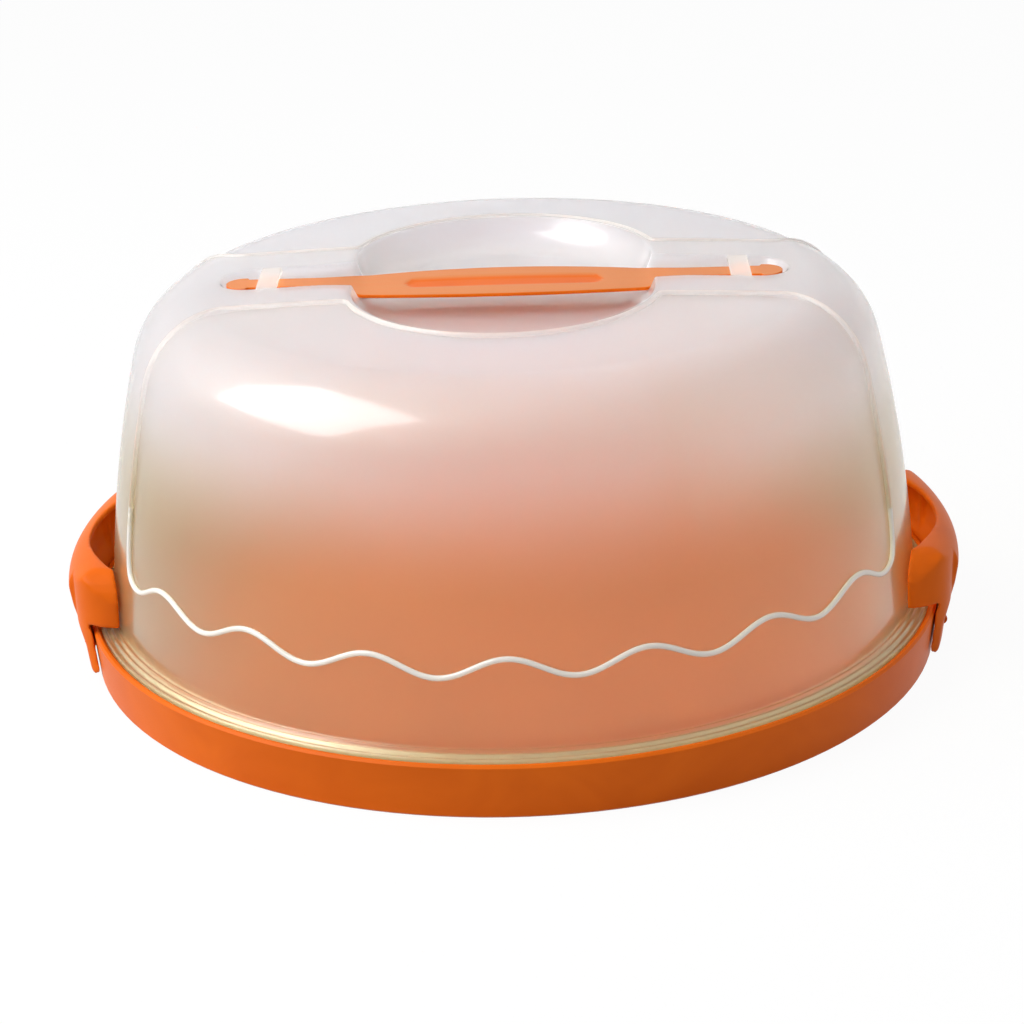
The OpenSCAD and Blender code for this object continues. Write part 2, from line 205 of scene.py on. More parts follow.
def orangePlastic(name, finish, streaks=0.0):
    material, tree, shader, skin = startMaterial(name)
    skin.inputs["Streak Amount"].default_value = streaks
    tone = addMath(tree, "ADD", spread(tree, skin.outputs["Flow"], 0.0, 1.0), skin.outputs["Streak"])
    colour = mixColours(tree, tone, finish["deep"], finish["bright"])
    if streaks:
        # painted sheen: the strap's flat top is painted pale, in streaks, as if it caught the light, but
        # not its dimple or its edges
        sheenMask = tree.nodes.new("ShaderNodeAttribute")
        sheenMask.attribute_name = "paintedSheen"
        mix = tree.nodes.new("ShaderNodeMix")
        mix.data_type = "RGBA"
        patchy = addMath(tree, "ADD", skin.outputs["Streak"], finish["paintedSheenShare"])
        amount = addMath(tree, "MULTIPLY", sheenMask.outputs["Fac"], patchy)
        tree.links.new(amount, mix.inputs[0])
        tree.links.new(colour, mix.inputs[6])
        mix.inputs[7].default_value = (*finish["paintedSheen"], 1.0)
        colour = mix.outputs[2]
    tree.links.new(colour, shader.inputs["Base Color"])
    tree.links.new(spread(tree, skin.outputs["Grain"], *finish["roughness"]), shader.inputs["Roughness"])
    shader.inputs["Coat Weight"].default_value = finish["coat"]
    shader.inputs["Coat Roughness"].default_value = finish["coatRoughness"]
    shader.inputs["Specular IOR Level"].default_value = finish["specular"]
    addBump(tree, skin.outputs["Grain"], shader, finish["bump"])
    return material


milkyFinish = {
    # painted glow: the tray's orange light, seen through and on the wall, is painted into the lid's
    # colour low down; on top the lid is cool and cloudy
    "lowColour": (0.65, 0.56, 0.30),
    "highColour": (0.87, 0.89, 0.935),
    "cloud": 0.04,          # how much the melt's flow lightens and darkens it
    "lowRoughness": 0.33,
    "highRoughness": 0.60,
    "lowAt": 0.068,         # metres over the table
    "highAt": 0.118,
    "clear": 0.86,          # share of the light that the wall lets through
    "ior": 1.35,
    "coat": 0.7,
    "coatRoughness": 0.11,
    "coatIor": 1.6,
    "bump": 0.06,
    "grainScale": 1800.0,
    "flowScale": 14.0,
    "shade": (0.80, 0.79, 0.72),    # what each face leaves of a lamp's light
}


def milkyPlastic(name, finish):
    material, tree, shader, skin = startMaterial(name)
    skin.inputs["Grain Scale"].default_value = finish["grainScale"]
    skin.inputs["Flow Scale"].default_value = finish["flowScale"]
    place = tree.nodes.new("ShaderNodeTexCoord")
    axes = tree.nodes.new("ShaderNodeSeparateXYZ")
    tree.links.new(place.outputs["Object"], axes.inputs["Vector"])
    # painted glow: the base colour runs from the warm painted tray glow at lowAt to the lid's own colour
    # at highAt
    rise = tree.nodes.new("ShaderNodeMapRange")
    rise.interpolation_type = "SMOOTHSTEP"
    tree.links.new(axes.outputs["Z"], rise.inputs["Value"])
    rise.inputs["From Min"].default_value = finish["lowAt"]
    rise.inputs["From Max"].default_value = finish["highAt"]
    flow = spread(tree, skin.outputs["Flow"], -finish["cloud"], finish["cloud"])
    height = addMath(tree, "ADD", rise.outputs["Result"], flow)
    colour = mixColours(tree, height, finish["lowColour"], finish["highColour"])
    tree.links.new(colour, shader.inputs["Base Color"])
    span = finish["highRoughness"] - finish["lowRoughness"]
    rough = addMath(tree, "ADD", addMath(tree, "MULTIPLY", height, span), finish["lowRoughness"])
    tree.links.new(rough, shader.inputs["Roughness"])
    shader.inputs["Transmission Weight"].default_value = finish["clear"]
    shader.inputs["IOR"].default_value = finish["ior"]
    shader.inputs["Coat Weight"].default_value = finish["coat"]
    shader.inputs["Coat Roughness"].default_value = finish["coatRoughness"]
    shader.inputs["Coat IOR"].default_value = finish["coatIor"]
    addBump(tree, skin.outputs["Grain"], shader, finish["bump"])
    # lamps shine through the wall, so the tray inside is lit
    ray = tree.nodes.new("ShaderNodeLightPath")
    passing = tree.nodes.new("ShaderNodeBsdfTransparent")
    passing.inputs["Color"].default_value = (*finish["shade"], 1.0)
    mix = tree.nodes.new("ShaderNodeMixShader")
    tree.links.new(ray.outputs["Is Shadow Ray"], mix.inputs["Fac"])
    tree.links.new(shader.outputs["BSDF"], mix.inputs[1])
    tree.links.new(passing.outputs["BSDF"], mix.inputs[2])
    tree.links.new(mix.outputs["Shader"], tree.nodes["Material Output"].inputs["Surface"])
    return material


orangeTray = orangePlastic("orangeTray", orangeFinish)
orangeLatch = orangePlastic("orangeLatch", orangeFinish)
orangeStrap = orangePlastic("orangeStrap", orangeFinish, streaks=0.5)
milkyLid = milkyPlastic("milkyLid", milkyFinish)

# what sets the lid's other parts apart from its wall
milkyChanges = {
    "milkyBead": {"clear": 0.3, "lowColour": (0.97, 0.96, 0.95), "highColour": (0.97, 0.96, 0.95)},
    # the flange's warm low colour is the same painted glow of the tray
    "milkyFlange": {"clear": 0.4, "lowColour": (0.93, 0.83, 0.76)},
    "milkyWell": {"clear": 0.93, "coat": 0.05, "ior": 1.12, "highRoughness": 0.7},
    # the border's warm low colour carries the same painted glow of the tray
    "milkyBorder": {"clear": 0.82, "coat": 0.3,
                    "lowColour": (0.93, 0.88, 0.80), "highColour": (0.93, 0.91, 0.89)},
}
milkyBead, milkyFlange, milkyWell, milkyBorder = (
    milkyPlastic(name, {**milkyFinish, **changes}) for name, changes in milkyChanges.items())


def dress(obj, material):
    obj.data.materials.clear()
    obj.data.materials.append(material)


dress(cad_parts["base_tray"], orangeTray)
print("finishes made")


lid = {
    # millimetres and degrees
    "footRadius": 152.3, "footHeight": 22.8, "wallRise": 94.25, "wallLean": 15.3, "wallCurve": 0.62,
    "cornerRadius": 30.0, "cornerFrom": 14.5, "cornerTo": 87.0,
    "cornerSpot": (107.955, 109.541),
    "top": 142.5, "crownRadius": 109.53, "crownBall": 2000.8,
    "wall": 2.0,
    "panelHalf": 67.5, "panelDepth": 0.8, "panelEdge": 33.85, "panelRound": 8.0,
    "panelInset": 2.0, "panelTurn": 2.0, "panelTop": 0.66, "panelShift": (0.85, 0.51),
    "panelSlope": 0.7,      # half the width of the step down to a panel
    "waveHeight": 49.85, "waveSize": 3.5, "wavePitch": 18.0, "waveEnd": 4.5, "waveEndRise": 9.0,
    "wellRadius": 54.5, "wellDraw": 20.0, "wellFloor": 129.5, "wellRound": 14.0, "wellBorder": 2.55,
    "wellSlack": 0.25,      # the bowl's wall turns steep this near its edge
    "steep": 5.0,           # slope of a wall beyond its edge
    "channelFloor": 136.54, "channelDip": 0.9, "channelHalf": 12.1, "channelEnd": 104.0,
    "channelDipFrom": 54.0, "channelDipTo": 68.0,
    "channelWall": (-0.7, 1.5), "channelWallRise": 6.0, "channelSoft": 0.8,
    "flareFrom": 68.0, "flareTo": 52.0, "flareHalf": 14.2, "flareOver": 1.3,
    "rimSoft": 4.0,         # how softly the well and the channel leave the crown
    "segments": 240, "wallSteps": 30, "cornerSteps": 24, "crownSteps": 38,
    # how far from an edge the grid is made finer: round the well and channel, and round a panel
    "outerLevels": ((7.0, 2.6), (3.6, 1.4), (2.0, 0.0)), "innerLevels": ((6.0, 0.0), (3.0, 0.0)),
    "shortestEdge": 0.55,
}
anyWallRadius = 152.0       # a radius on the wall, where the outline depends on the height alone


def crownHeight(r):
    return lid["top"] - lid["crownBall"] + np.sqrt(lid["crownBall"] ** 2 - r * r)


def domeSpot(r, z):
    # nearest place on the dome's outline, and the direction out of it
    cx, cz = lid["cornerSpot"]
    angle = np.degrees(np.arctan2(z - cz, r - cx))
    t = (z - lid["footHeight"]) / lid["wallRise"]
    lean, curve = lid["wallLean"], lid["wallCurve"]
    wallR = lid["footRadius"] - lean * t * (1 - curve + curve * t)
    slope = lean * (1 - curve + 2 * curve * t) / lid["wallRise"]
    length = np.hypot(1.0, slope)
    a = np.radians(angle)
    onWall = z < cz + lid["cornerRadius"] * math.sin(math.radians(lid["cornerFrom"]))
    onCrown = r < lid["crownRadius"] - 1e-6
    spotR = np.where(onWall, wallR, cx + lid["cornerRadius"] * np.cos(a))
    spotZ = np.where(onWall, z, cz + lid["cornerRadius"] * np.sin(a))
    outR = np.where(onWall, 1.0 / length, np.cos(a))
    outZ = np.where(onWall, slope / length, np.sin(a))
    spotR = np.where(onCrown, r, spotR)
    spotZ = np.where(onCrown, crownHeight(np.minimum(r, lid["crownRadius"])), spotZ)
    outR = np.where(onCrown, r / lid["crownBall"], outR)
    outZ = np.where(onCrown, 1.0, outZ)
    return spotR, spotZ, outR, outZ


def softLower(a, b, soft):
    h = np.clip(0.5 + 0.5 * (b - a) / soft, 0.0, 1.0)
    return b + (a - b) * h - soft * h * (1.0 - h)


def softer(value, low, high):
    t = np.clip((value - low) / (high - low), 0.0, 1.0)
    return t * t * (3 - 2 * t)


def wellDistance(x, y):
    return np.hypot(x, np.maximum(np.abs(y) - lid["wellDraw"], 0.0)) - lid["wellRadius"]


def channelDistance(x, y):
    ax = np.abs(x)
    over = lid["flareOver"]
    flare = np.clip((lid["flareFrom"] - ax) / (lid["flareFrom"] - lid["flareTo"]), 0.0, over)
    half = lid["channelHalf"] + (lid["flareHalf"] - lid["channelHalf"]) * softer(flare, 0.0, over) * over
    endX = np.maximum(ax - (lid["channelEnd"] - lid["channelHalf"]), 0.0)
    return np.hypot(endX, np.abs(y)) - half


def crownSurface(x, y, inset):
    # height of the crown with its finger well and strap channel, at a depth inside the wall
    r = np.hypot(x, y)
    crown = crownHeight(r) - inset
    depth = inset - wellDistance(x, y)
    ball, slack, steep = lid["wellRound"], lid["wellSlack"], lid["steep"]
    away = np.clip(ball - depth, 0.0, ball - slack)
    bowl = lid["wellFloor"] - inset + ball - np.sqrt(ball * ball - away * away)
    bowl = bowl + steep * np.maximum(slack - depth, 0.0)
    edge = inset - channelDistance(x, y)
    dip = lid["channelDip"] * (1 - softer(np.abs(x), lid["channelDipFrom"], lid["channelDipTo"]))
    low, high = lid["channelWall"]
    channelTop = lid["channelFloor"] - inset - dip
    channelTop = channelTop + lid["channelWallRise"] * (1 - softer(edge, low, high))
    channelTop = channelTop + steep * np.maximum(low - edge, 0.0)
    return softLower(crown, softLower(bowl, channelTop, lid["channelSoft"]), lid["rimSoft"])


def waveHeight(angle):
    # height of the panel's lower edge at an angle from the panel's middle
    last = lid["panelHalf"] - lid["waveEnd"]
    u = np.clip((np.abs(angle) - last) / lid["waveEnd"], 0.0, 1.0)
    inner = np.minimum(np.abs(angle), last)
    wave = lid["waveSize"] * np.cos(np.radians(360 * inner / lid["wavePitch"]))
    return lid["waveHeight"] + wave + lid["waveEndRise"] * (1 - np.sqrt(np.maximum(1 - u * u, 0.0)))


def panelSide():
    # the panel's side seen from above: a point on it and its direction
    high = lid["cornerSpot"][0] + lid["panelTop"] * lid["cornerRadius"]
    turn = math.radians(lid["panelHalf"] + lid["panelTurn"])
    low = lid["footRadius"] - lid["panelInset"]
    turnLow = math.radians(lid["panelHalf"])
    shift = np.array(lid["panelShift"])
    first = np.array([high * math.sin(turn), -high * math.cos(turn)]) - shift
    second = np.array([low * math.sin(turnLow), -low * math.cos(turnLow)]) - shift
    run = (second - first) / np.linalg.norm(second - first)
    return first, run


def panelDistance(x, y, z):
    # negative inside the framed panel that lies at -y
    first, run = panelSide()
    ax = np.abs(x)
    side = (ax - first[0]) * -run[1] + (y - first[1]) * run[0]
    top = y + lid["panelEdge"]
    soft = lid["panelRound"]
    corner = np.hypot(np.maximum(side + soft, 0), np.maximum(top + soft, 0)) - soft
    corner = np.where((side > -soft) & (top > -soft), corner, np.maximum(side, top))
    angle = np.degrees(np.arcsin(np.clip(x / (lid["footRadius"] - lid["panelInset"]), -1, 1)))
    below = waveHeight(angle) - z
    well = lid["wellBorder"] - wellDistance(x, y)
    return np.maximum(np.maximum(corner, below), well)


def lidPoints(x, y, z, inset):
    r = np.hypot(x, y)
    spotR, spotZ, outR, outZ = domeSpot(r, z)
    safe = np.maximum(r, 1e-9)
    away = -inset * np.ones_like(r)
    if inset == 0:
        border = np.minimum(panelDistance(x, y, spotZ), panelDistance(x, -y, spotZ))
        away = -lid["panelDepth"] * (1 - softer(border, -lid["panelSlope"], lid["panelSlope"]))
    newR = spotR + outR * away
    newZ = spotZ + outZ * away
    cx, cy = x / safe * newR, y / safe * newR
    crown = r < lid["crownRadius"] - 1e-6
    lowered = crownSurface(x, y, inset)
    if inset == 0:
        lowered = np.minimum(lowered, crownHeight(r) + away)
    return np.stack([np.where(crown, x, cx), np.where(crown, y, cy), np.where(crown, lowered, newZ)], 1)


def featureDistance(x, y, inset):
    # how far the well's or the channel's edge is
    farAway, deepInWell = 99.0, -6.0
    onCrown = np.hypot(x, y) < lid["crownRadius"]
    well = np.abs(wellDistance(x, y) - inset)
    channel = np.abs(channelDistance(x, y) - inset)
    channel = np.where(wellDistance(x, y) < deepInWell, farAway, channel)
    return np.where(onCrown, np.minimum(well, channel), farAway)


def lidSkin(inset):
    # a grid of the plain dome, made finer near every edge, then moved to its place
    bm = bmesh.new()
    wallSteps = lid["wallSteps"]
    heights = [lid["footHeight"] + lid["wallRise"] * i / wallSteps for i in range(wallSteps)]
    rows = [(float(domeSpot(np.array([anyWallRadius]), np.array([z]))[0][0]), z) for z in heights]
    cx, cz = lid["cornerSpot"]
    cornerTurn = lid["cornerTo"] - lid["cornerFrom"]
    for i in range(lid["cornerSteps"] + 1):
        a = math.radians(lid["cornerFrom"] + cornerTurn * i / lid["cornerSteps"])
        rows.append((cx + lid["cornerRadius"] * math.cos(a), cz + lid["cornerRadius"] * math.sin(a)))
    for i in range(1, lid["crownSteps"]):
        r = lid["crownRadius"] * (1 - i / lid["crownSteps"])
        rows.append((r, float(crownHeight(r))))
    count = lid["segments"]
    turns = [2 * math.pi * k / count for k in range(count)]
    rings = [[bm.verts.new((r * math.cos(turn), r * math.sin(turn), z)) for turn in turns]
             for r, z in rows]
    middle = bm.verts.new((0, 0, lid["top"]))
    for low, high in zip(rings, rings[1:]):
        for k in range(count):
            bm.faces.new((low[k], low[(k + 1) % count], high[(k + 1) % count], high[k]))
    for k in range(count):
        bm.faces.new((rings[-1][k], rings[-1][(k + 1) % count], middle))
    for reach, panelReach in lid["outerLevels" if inset == 0 else "innerLevels"]:
        co = np.array([v.co for v in bm.verts])
        near = featureDistance(co[:, 0], co[:, 1], inset) < reach
        if inset == 0 and panelReach:
            border = np.minimum(np.abs(panelDistance(co[:, 0], co[:, 1], co[:, 2])),
                                np.abs(panelDistance(co[:, 0], -co[:, 1], co[:, 2])))
            near |= border < panelReach
        bm.verts.ensure_lookup_table()
        bm.verts.index_update()
        edges = [e for e in bm.edges if near[e.verts[0].index] or near[e.verts[1].index]]
        edges = [e for e in edges if e.calc_length() > lid["shortestEdge"]]
        bmesh.ops.subdivide_edges(bm, edges=edges, cuts=1, use_grid_fill=True)
    bmesh.ops.triangulate(bm, faces=bm.faces[:])
    co = np.array([v.co for v in bm.verts])
    placed = lidPoints(co[:, 0], co[:, 1], co[:, 2], inset)
    for v, spot in zip(bm.verts, placed):
        v.co = spot
    return bm


def openRing(verts):
    # the open edge's points, in order round the middle
    return sorted([v for v in verts if v.is_boundary], key=lambda v: math.atan2(v.co.y, v.co.x))


flangeOutline = [
    # radius and height, from the wall's foot outwards over three fine ridges, down and back in
    (152.45, 22.25), (152.75, 21.98), (153.1, 22.02), (153.45, 22.3), (153.85, 22.3), (154.15, 22.0),
    (154.35, 21.5), (154.75, 21.25), (155.1, 21.35), (155.4, 21.62), (155.8, 21.62), (156.1, 21.3),
    (156.3, 20.75), (156.7, 20.5), (157.1, 20.5), (157.4, 20.75), (157.75, 20.95), (158.15, 20.95),
    (158.5, 20.7), (158.65, 20.3), (158.7, 19.6), (158.65, 19.1), (158.45, 18.8), (158.1, 18.7),
    (155.0, 18.7), (151.3, 18.7), (150.7, 18.8), (150.4, 19.1), (150.3, 19.6),
]


def makeLid():
    outer, inner = lidSkin(0.0), lidSkin(lid["wall"])
    bmesh.ops.reverse_faces(inner, faces=inner.faces[:])
    meshes = []
    for skin in (outer, inner):
        mesh = bpy.data.meshes.new("skin")
        skin.to_mesh(mesh)
        skin.free()
        meshes.append(mesh)
    bm = bmesh.new()
    bm.from_mesh(meshes[0])
    previous = openRing(bm.verts)
    first = len(bm.verts)
    bm.from_mesh(meshes[1])
    bm.verts.ensure_lookup_table()
    last = openRing(bm.verts[first:])
    angles = [math.atan2(v.co.y, v.co.x) for v in previous]
    for r, z in flangeOutline:
        ring = [bm.verts.new((r * math.cos(a), r * math.sin(a), z)) for a in angles]
        bridgeRings(bm, previous, ring)
        previous = ring
    bridgeRings(bm, previous, last)
    flangeSlot, wellSlot, insideWell = 1, 2, -1.0
    for face in bm.faces:
        if max(v.co.z for v in face.verts) < lid["footHeight"] + 0.01:
            face.material_index = flangeSlot
        elif wellDistance(*face.calc_center_median().xy) < insideWell:
            face.material_index = wellSlot
    bmesh.ops.scale(bm, verts=bm.verts[:], vec=(0.001, 0.001, 0.001))
    for mesh in meshes:
        bpy.data.meshes.remove(mesh)
    return finishMesh("lidDome", bm)


def bridgeRings(bm, before, after):
    count = len(before)
    for k in range(count):
        following = (k + 1) % count
        bm.faces.new((after[k], after[following], before[following], before[k]))


def finishMesh(name, bm):
    for face in bm.faces:
        face.smooth = True
    mesh = bpy.data.meshes.new(name)
    bm.to_mesh(mesh)
    bm.free()
    obj = bpy.data.objects.new(name, mesh)
    scene.collection.objects.link(obj)
    return obj


lidObject = makeLid()
dress(lidObject, milkyLid)
lidObject.data.materials.append(milkyFlange)
lidObject.data.materials.append(milkyWell)
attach(lidObject, "lid")
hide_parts("lid_dome")
print("lid made,", len(lidObject.data.polygons), "faces")


bead = {
    "radius": 1.0,          # mm, along the wave
    "thin": 0.42,           # mm, along the sides and round the well
    "thinBack": 0.28,       # the same on the back panel
    "sunk": 0.25,           # mm that its middle lies inside the wall
    "spacing": 1.3,         # mm between two rings of points
    "sides": 14,
    "waveStep": 0.6,        # degrees between two points of the path along the wave
    "pathStep": 1.2,        # mm between two points of the path elsewhere
    "cornerSteps": 12, "wellSteps": 60,
    "thinOver": (9, 1),     # points before the wave's end where the bead starts and stops getting thin
    "overlap": 3,           # points by which the two stretches reach into each other
    "sideMargin": 0.3,      # mm from the panel's side where the wave ends
    "smoothing": 3,
}


def outlineTable():
    # height over the table for each radius, from the middle to the foot
    wallTop = lid["cornerSpot"][1] + 7.0
    wallCount, cornerCount, crownCount = 120, 60, 60
    z = np.linspace(lid["footHeight"], wallTop, wallCount)
    r = domeSpot(np.full_like(z, anyWallRadius), z)[0]
    a = np.radians(np.linspace(lid["cornerFrom"], lid["cornerTo"], cornerCount))
    cx, cz = lid["cornerSpot"]
    r = np.concatenate([r, cx + lid["cornerRadius"] * np.cos(a)])
    z = np.concatenate([z, cz + lid["cornerRadius"] * np.sin(a)])
    inner = np.linspace(lid["crownRadius"], 0.0, crownCount)[1:]
    return np.concatenate([r, inner])[::-1], np.concatenate([z, crownHeight(inner)])[::-1]


def arcPoints(middle, radius, start, end, steps):
    turns = [start + (end - start) * i / steps for i in range(steps + 1)]
    return [middle + radius * np.array([math.cos(a), math.sin(a)]) for a in turns]


def panelPath():
    # the right half of the front panel's border, from the middle of the wave round to the well
    tableR, tableZ = outlineTable()
    first, run = panelSide()
    wave = []
    for a in np.arange(0.0, lid["panelHalf"], bead["waveStep"]):
        x = (lid["footRadius"] - lid["panelInset"]) * math.sin(math.radians(a))
        z = float(waveHeight(np.array([a]))[0])
        r = float(domeSpot(np.array([anyWallRadius]), np.array([z]))[0][0])
        y = -math.sqrt(r * r - x * x)
        if (x - first[0]) * -run[1] + (y - first[1]) * run[0] > -bead["sideMargin"]:
            break
        wave.append((x, y, z))
    top, soft = -lid["panelEdge"], lid["panelRound"]
    normal = np.array([-run[1], run[0]])
    # middle of the round corner: soft away from the side and from the top edge
    reach = (top - soft - first[1] + soft * normal[1]) / run[1]
    middle = first + run * reach - soft * normal
    start = np.array(wave[-1][:2])
    join = middle + soft * normal
    steps = int(np.linalg.norm(join - start) / bead["pathStep"])
    low = first + run * float((start - first) @ run)
    plan = [low + (join - low) * i / steps for i in range(1, steps)]
    # round the corner
    plan += arcPoints(middle, soft, math.atan2(normal[1], normal[0]), math.pi / 2, bead["cornerSteps"])
    # straight to the well, and round it
    ring = lid["wellRadius"] + lid["wellBorder"]
    meet = math.sqrt(ring ** 2 - (lid["panelEdge"] - lid["wellDraw"]) ** 2)
    cornerX = plan[-1][0]
    steps = int((cornerX - meet) / bead["pathStep"])
    plan += [np.array([cornerX + (meet - cornerX) * i / steps, top]) for i in range(1, steps)]
    wellMiddle = np.array([0.0, -lid["wellDraw"]])
    fromAngle = math.atan2(top + lid["wellDraw"], meet)
    plan += arcPoints(wellMiddle, ring, fromAngle, -math.pi / 2, bead["wellSteps"])
    path = wave + [(p[0], p[1], float(np.interp(math.hypot(*p), tableR, tableZ))) for p in plan]
    return np.array(path), len(wave)


def beadCurve(name, mirrored, onWave):
    # the wavy run, or the rest of the border: each an open stretch of the same closed path
    half, waveCount = panelPath()
    path = np.concatenate([half, (half * (-1, 1, 1))[::-1][1:-1]])
    for _ in range(bead["smoothing"]):
        path = 0.5 * path + 0.25 * (np.roll(path, 1, 0) + np.roll(path, -1, 0))
    last = waveCount + bead["overlap"]
    thin = bead["thinBack"] if mirrored else bead["thin"]
    thick = np.full(len(path), thin)
    begin, stop = bead["thinOver"]
    thick[:last] += (bead["radius"] - thin) * (1 - softer(np.arange(last), last - begin, last - stop))
    thick[-last + 1:] = thick[1:last][::-1]
    if onWave:
        path, thick = np.roll(path, last, 0)[1:2 * last - 1], np.roll(thick, last)[1:2 * last - 1]
    else:
        path, thick = path[last - 2:1 - last + 2], thick[last - 2:1 - last + 2]
    if mirrored:
        path = path * (1, -1, 1)
    spotR, spotZ, outR, outZ = domeSpot(np.hypot(path[:, 0], path[:, 1]), path[:, 2])
    newR = spotR - bead["sunk"] * outR
    turn = np.arctan2(path[:, 1], path[:, 0])
    path = np.stack([newR * np.cos(turn), newR * np.sin(turn), spotZ - bead["sunk"] * outZ], 1) / 1000
    curve = bpy.data.curves.new(name, "CURVE")
    curve.dimensions = "3D"
    spline = curve.splines.new("POLY")
    spline.points.add(len(path) - 1)
    for point, spot, radius in zip(spline.points, path, thick):
        point.co = (*spot, 1.0)
        point.radius = radius
    obj = bpy.data.objects.new(name, curve)
    scene.collection.objects.link(obj)
    return obj


def buildBeadTree():
    tree = bpy.data.node_groups.new("beadAlongPath", "GeometryNodeTree")
    face = tree.interface
    face.new_socket("Geometry", in_out="INPUT", socket_type="NodeSocketGeometry")
    for label in ("Radius", "Spacing"):
        face.new_socket(label, in_out="INPUT", socket_type="NodeSocketFloat")
    face.new_socket("Sides", in_out="INPUT", socket_type="NodeSocketInt")
    face.new_socket("Material", in_out="INPUT", socket_type="NodeSocketMaterial")
    face.new_socket("Geometry", in_out="OUTPUT", socket_type="NodeSocketGeometry")
    source, sink = tree.nodes.new("NodeGroupInput"), tree.nodes.new("NodeGroupOutput")
    even = tree.nodes.new("GeometryNodeResampleCurve")
    even.mode = "LENGTH"
    section = tree.nodes.new("GeometryNodeCurvePrimitiveCircle")
    sweep = tree.nodes.new("GeometryNodeCurveToMesh")
    smooth = tree.nodes.new("GeometryNodeSetShadeSmooth")
    real = tree.nodes.new("GeometryNodeRealizeInstances")
    paint = tree.nodes.new("GeometryNodeSetMaterial")
    link = tree.links.new
    link(source.outputs["Geometry"], even.inputs["Curve"])
    link(source.outputs["Spacing"], even.inputs["Length"])
    link(source.outputs["Radius"], section.inputs["Radius"])
    link(source.outputs["Sides"], section.inputs["Resolution"])
    sweep.inputs["Fill Caps"].default_value = True
    link(even.outputs["Curve"], sweep.inputs["Curve"])
    link(section.outputs["Curve"], sweep.inputs["Profile Curve"])
    link(sweep.outputs["Mesh"], smooth.inputs["Geometry"])
    link(smooth.outputs["Geometry"], real.inputs["Geometry"])
    link(real.outputs["Geometry"], paint.inputs["Geometry"])
    link(source.outputs["Material"], paint.inputs["Material"])
    link(paint.outputs["Geometry"], sink.inputs["Geometry"])
    return tree


def runTree(obj, tree, values, name):
    # gives obj the tree with its values, and returns the result as a plain mesh
    modifier = obj.modifiers.new("build", "NODES")
    modifier.node_group = tree
    for item in tree.interface.items_tree:
        if item.in_out == "INPUT" and item.name in values:
            modifier[item.identifier] = values[item.name]
    bpy.context.view_layer.update()
    graph = bpy.context.evaluated_depsgraph_get()
    mesh = bpy.data.meshes.new_from_object(obj.evaluated_get(graph))
    mesh.name = name
    bpy.data.objects.remove(obj)
    made = bpy.data.objects.new(name, mesh)
    scene.collection.objects.link(made)
    return made


beadTree = buildBeadTree()
for end, mirrored in (("Front", False), ("Back", True)):
    for kind, material in (("wave", milkyBead), ("border", milkyBorder)):
        name = kind + "Bead" + end
        made = runTree(beadCurve(name + "Path", mirrored, kind == "wave"), beadTree,
                       {"Radius": 0.001, "Spacing": bead["spacing"] / 1000,
                        "Sides": bead["sides"], "Material": material}, name)
        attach(made, "lid")
print("beads made")


bridges = {
    "middle": 86.2, "length": 7.6, "half": 14.5, "low": 139.25, "high": 141.0,
    "soft": 0.7, "bow": 0.5,
}


def makeBridges(setup):
    bm = bmesh.new()
    for side in (-1, 1):
        made = bmesh.ops.create_cube(bm, size=1.0)["verts"]
        for v in made:
            v.co = (side * setup["middle"] + v.co.x * setup["length"], v.co.y * 2 * setup["half"],
                    (setup["low"] + setup["high"]) / 2 + v.co.z * (setup["high"] - setup["low"]))
    across = [e for e in bm.edges if abs((e.verts[0].co - e.verts[1].co).y) > 1]
    bmesh.ops.subdivide_edges(bm, edges=across, cuts=11)
    sharp = [e for e in bm.edges if len(e.link_faces) == 2 and e.calc_face_angle() > 0.5]
    bmesh.ops.bevel(bm, geom=sharp, offset=setup["soft"], segments=4, profile=0.5, affect="EDGES")
    for v in bm.verts:
        # the band bows down to its ends and into the crown
        v.co.z -= setup["bow"] * (v.co.y / setup["half"]) ** 2
    bmesh.ops.recalc_face_normals(bm, faces=bm.faces[:])
    bmesh.ops.scale(bm, verts=bm.verts[:], vec=(0.001, 0.001, 0.001))
    return finishMesh("strapBridges", bm)


bridgeObject = makeBridges(bridges)
dress(bridgeObject, milkyBorder)
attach(bridgeObject, "lid")
print("bridges made")


strap = {
    "low": 137.4, "thick": 1.4,
    "armHalf": 5.2, "gripHalf": 16.8, "gripEndHalf": 12.5, "gripEnd": 50.0, "neck": 67.0,
    "barbAt": 94.0, "barbHalf": 6.9, "end": 102.0,
    "dimpleHalf": 36.0, "dimpleWidth": 5.2, "dimpleDepth": 0.6, "dimpleWall": (-0.9, 0.5),
    "sag": 1.2, "sagAtEnds": 0.6, "sagGone": (49.0, 66.0), "soft": 0.45,
    "barbRise": 0.6,        # length of the step up to the barb's full width
    "barbFlat": 1.5,        # length at full width before the nose
    "paintedSheenFrom": (0.22, 0.05),     # below the top: where the painted sheen starts, and where it is full
    "step": 1.0,            # mm between two outlines
}


def strapHalfWidth(x):
    arm, gripEnd, barbAt = strap["armHalf"], strap["gripEnd"], strap["barbAt"]
    if x < gripEnd:
        return strap["gripHalf"] - (strap["gripHalf"] - strap["gripEndHalf"]) * (x / gripEnd) ** 2
    if x < barbAt:
        t = min(1.0, (x - gripEnd) / (strap["neck"] - gripEnd))
        return arm + (strap["gripEndHalf"] - arm) * (1 + math.cos(math.pi * t)) / 2
    nose = barbAt + strap["barbFlat"]
    if x < nose:
        return arm + (strap["barbHalf"] - arm) * min(1.0, (x - barbAt) / strap["barbRise"])
    t = min(1.0, (x - nose) / (strap["end"] - nose))
    return strap["barbHalf"] * math.sqrt(max(0.0, 1 - t * t))


